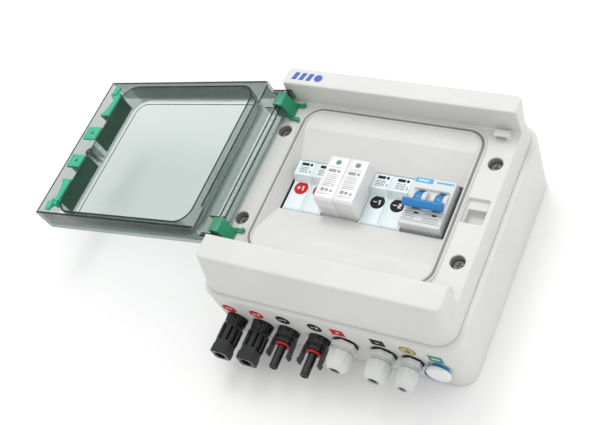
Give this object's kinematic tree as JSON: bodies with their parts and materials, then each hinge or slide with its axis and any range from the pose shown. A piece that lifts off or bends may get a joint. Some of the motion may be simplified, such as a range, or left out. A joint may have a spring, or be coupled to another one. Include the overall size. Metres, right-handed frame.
{
  "type": "dc combiner box",
  "caption": "Plastic wall enclosure with solar connectors and cable glands below, a rail with fuse holders, a surge protector and a breaker behind a clear hinged door.",
  "frame": {"origin": "on the enclosure's flat back face, behind the middle of the rail's row", "axes": "+Z out of the front, away from the wall; +Y to the enclosure's top, away from the connectors; +X to the right, away from the hinge. The box lies on its back, and on a wall +Y is up"},
  "size_m": [0.433, 0.2486, 0.1036],
  "materials": {
    "shell": "satin",
    "device": "satin",
    "breaker": "satin",
    "smoke": "gloss",
    "green": "satin",
    "blue": "gloss",
    "black": "satin",
    "rubber": "matte",
    "red": "matte",
    "white": "satin",
    "steel": "satin",
    "copper": "satin",
    "brass": "satin",
    "ceramic": "matte"
  },
  "bodies": {
    "enclosure": {"base_shell": "shell", "front_cover": "shell", "cover_gasket": "rubber", "window_seal": "rubber", "cover_screw_upper_left": "steel", "cover_screw_upper_right": "steel", "cover_screw_lower_left": "steel", "cover_screw_lower_right": "steel", "din_rail": "steel", "rail_screw_left": "steel", "rail_screw_right": "steel", "hinge_clip_upper": "green", "hinge_clip_lower": "green", "fuse_base_positive_1": "device", "fuse_base_positive_2": "device", "fuse_base_negative_1": "device", "fuse_base_negative_2": "device", "surge_base": "white", "breaker_case": "breaker", "vent_ring": "blue", "busbar_positive": "copper", "busbar_negative": "copper", "earth_bar": "brass", "pv_socket_1": "black", "pv_socket_nut_1": "black", "pv_plug_1": "black", "pv_plug_nut_1": "black", "pv_ring_1": "red", "pv_socket_2": "black", "pv_socket_nut_2": "black", "pv_plug_2": "black", "pv_plug_nut_2": "black", "pv_ring_2": "red", "gland_body_1": "white", "gland_nut_1": "white", "gland_washer_1": "rubber", "gland_seal_1": "rubber", "gland_body_2": "white", "gland_nut_2": "white", "gland_washer_2": "rubber", "gland_seal_2": "rubber", "gland_body_3": "white", "gland_nut_3": "white", "gland_washer_3": "rubber", "gland_seal_3": "rubber", "vent_plug": "white"},
    "door": {"door": "smoke"},
    "latch_upper": {"latch_upper": "green"},
    "latch_lower": {"latch_lower": "green"},
    "breaker_toggle": {"breaker_toggle": "blue"},
    "surge_module_positive": {"surge_module_positive": "white"},
    "surge_module_negative": {"surge_module_negative": "white"},
    "fuse_drawer_positive_1": {"fuse_drawer_positive_1": "device", "fuse_link_positive_1": "ceramic"},
    "fuse_drawer_positive_2": {"fuse_drawer_positive_2": "device", "fuse_link_positive_2": "ceramic"},
    "fuse_drawer_negative_1": {"fuse_drawer_negative_1": "device", "fuse_link_negative_1": "ceramic"},
    "fuse_drawer_negative_2": {"fuse_drawer_negative_2": "device", "fuse_link_negative_2": "ceramic"}
  },
  "joints": [
    {"name": "door_hinge", "type": "hinge", "parent": "enclosure", "child": "door", "pos_m": [-0.1054, 0, 0.0923], "axis": [0, -1, 0], "range_deg": [-191, 0]},
    {"name": "latch_slide_upper", "type": "slide", "parent": "door", "child": "latch_upper", "axis": [0, -1, 0], "range_m": [0, 0.005]},
    {"name": "latch_slide_lower", "type": "slide", "parent": "door", "child": "latch_lower", "axis": [0, 1, 0], "range_m": [0, 0.005]},
    {"name": "breaker_switch", "type": "hinge", "parent": "enclosure", "child": "breaker_toggle", "pos_m": [0.0545, 0.004, 0.07], "axis": [-1, 0, 0], "range_deg": [0, 60]},
    {"name": "fuse_swing_positive_1", "type": "hinge", "parent": "enclosure", "child": "fuse_drawer_positive_1", "pos_m": [-0.0625, -0.0218, 0.0656], "axis": [1, 0, 0], "range_deg": [0, 65]},
    {"name": "fuse_swing_positive_2", "type": "hinge", "parent": "enclosure", "child": "fuse_drawer_positive_2", "pos_m": [-0.0445, -0.0218, 0.0656], "axis": [1, 0, 0], "range_deg": [0, 65]},
    {"name": "fuse_swing_negative_1", "type": "hinge", "parent": "enclosure", "child": "fuse_drawer_negative_1", "pos_m": [0.0095, -0.0218, 0.0656], "axis": [1, 0, 0], "range_deg": [0, 65]},
    {"name": "fuse_swing_negative_2", "type": "hinge", "parent": "enclosure", "child": "fuse_drawer_negative_2", "pos_m": [0.0275, -0.0218, 0.0656], "axis": [1, 0, 0], "range_deg": [0, 65]},
    {"name": "surge_pull_positive", "type": "slide", "parent": "enclosure", "child": "surge_module_positive", "axis": [0, 0, 1], "range_m": [0, 0.025]},
    {"name": "surge_pull_negative", "type": "slide", "parent": "enclosure", "child": "surge_module_negative", "axis": [0, 0, 1], "range_m": [0, 0.025]}
  ]
}
